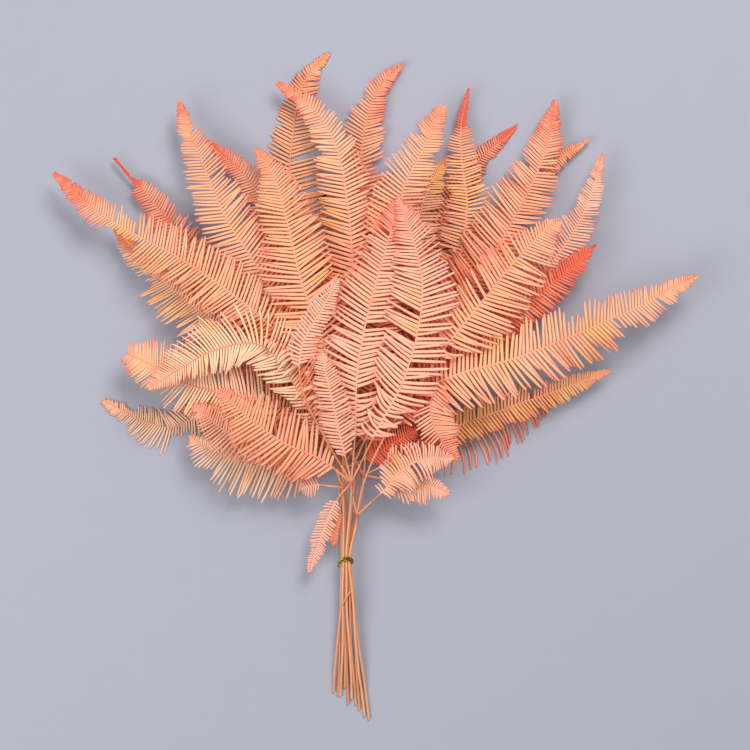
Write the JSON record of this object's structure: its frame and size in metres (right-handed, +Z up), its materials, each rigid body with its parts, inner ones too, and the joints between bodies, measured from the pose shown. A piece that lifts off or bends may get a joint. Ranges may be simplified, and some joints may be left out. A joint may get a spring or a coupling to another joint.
{
  "type": "dried fern bunch",
  "caption": "Bunch of forked comb-like fern fronds, dried and dyed peach, tied with a twisted wire and lying on its back.",
  "frame": {"origin": "middle of the underside of the box round the whole bunch, on the table it lies on", "axes": "+Y along the bunch from the cut ends to the leaf tips, +X to the right across it, +Z up from the table through the face of the leaves"},
  "size_m": [0.4794, 0.5018, 0.0673],
  "materials": {
    "leaf": "dry matt leaf, dyed peach",
    "stem": "dry smooth stalk, orange brown",
    "wire": "thin twisted wire, dark gold"
  },
  "bodies": {
    "root": {"frond_01_stem": "stem", "frond_01_leaf_1": "leaf", "frond_01_leaf_2": "leaf", "frond_01_leaf_3": "leaf", "frond_01_leaf_4": "leaf", "frond_02_stem": "stem", "frond_02_leaf_1": "leaf", "frond_02_leaf_2": "leaf", "frond_02_leaf_3": "leaf", "frond_02_leaf_4": "leaf", "frond_03_stem": "stem", "frond_03_leaf_1": "leaf", "frond_03_leaf_2": "leaf", "frond_03_leaf_3": "leaf", "frond_04_stem": "stem", "frond_04_leaf_1": "leaf", "frond_04_leaf_2": "leaf", "frond_04_leaf_3": "leaf", "frond_04_leaf_4": "leaf", "frond_04_leaf_5": "leaf", "frond_05_stem": "stem", "frond_05_leaf_1": "leaf", "frond_05_leaf_2": "leaf", "frond_05_leaf_3": "leaf", "frond_06_stem": "stem", "frond_06_leaf_1": "leaf", "frond_06_leaf_2": "leaf", "frond_06_leaf_3": "leaf", "frond_06_leaf_4": "leaf", "frond_07_stem": "stem", "frond_07_leaf_1": "leaf", "frond_07_leaf_2": "leaf", "frond_07_leaf_3": "leaf", "frond_07_leaf_4": "leaf", "frond_08_stem": "stem", "frond_08_leaf_1": "leaf", "frond_08_leaf_2": "leaf", "frond_08_leaf_3": "leaf", "frond_08_leaf_4": "leaf", "frond_08_leaf_5": "leaf", "frond_09_stem": "stem", "frond_09_leaf_1": "leaf", "frond_09_leaf_2": "leaf", "frond_09_leaf_3": "leaf", "frond_09_leaf_4": "leaf", "frond_10_stem": "stem", "frond_10_leaf_1": "leaf", "frond_10_leaf_2": "leaf", "frond_10_leaf_3": "leaf", "frond_10_leaf_4": "leaf", "frond_10_leaf_5": "leaf", "frond_10_leaf_6": "leaf", "wire_tie": "wire"}
  },
  "joints": []
}
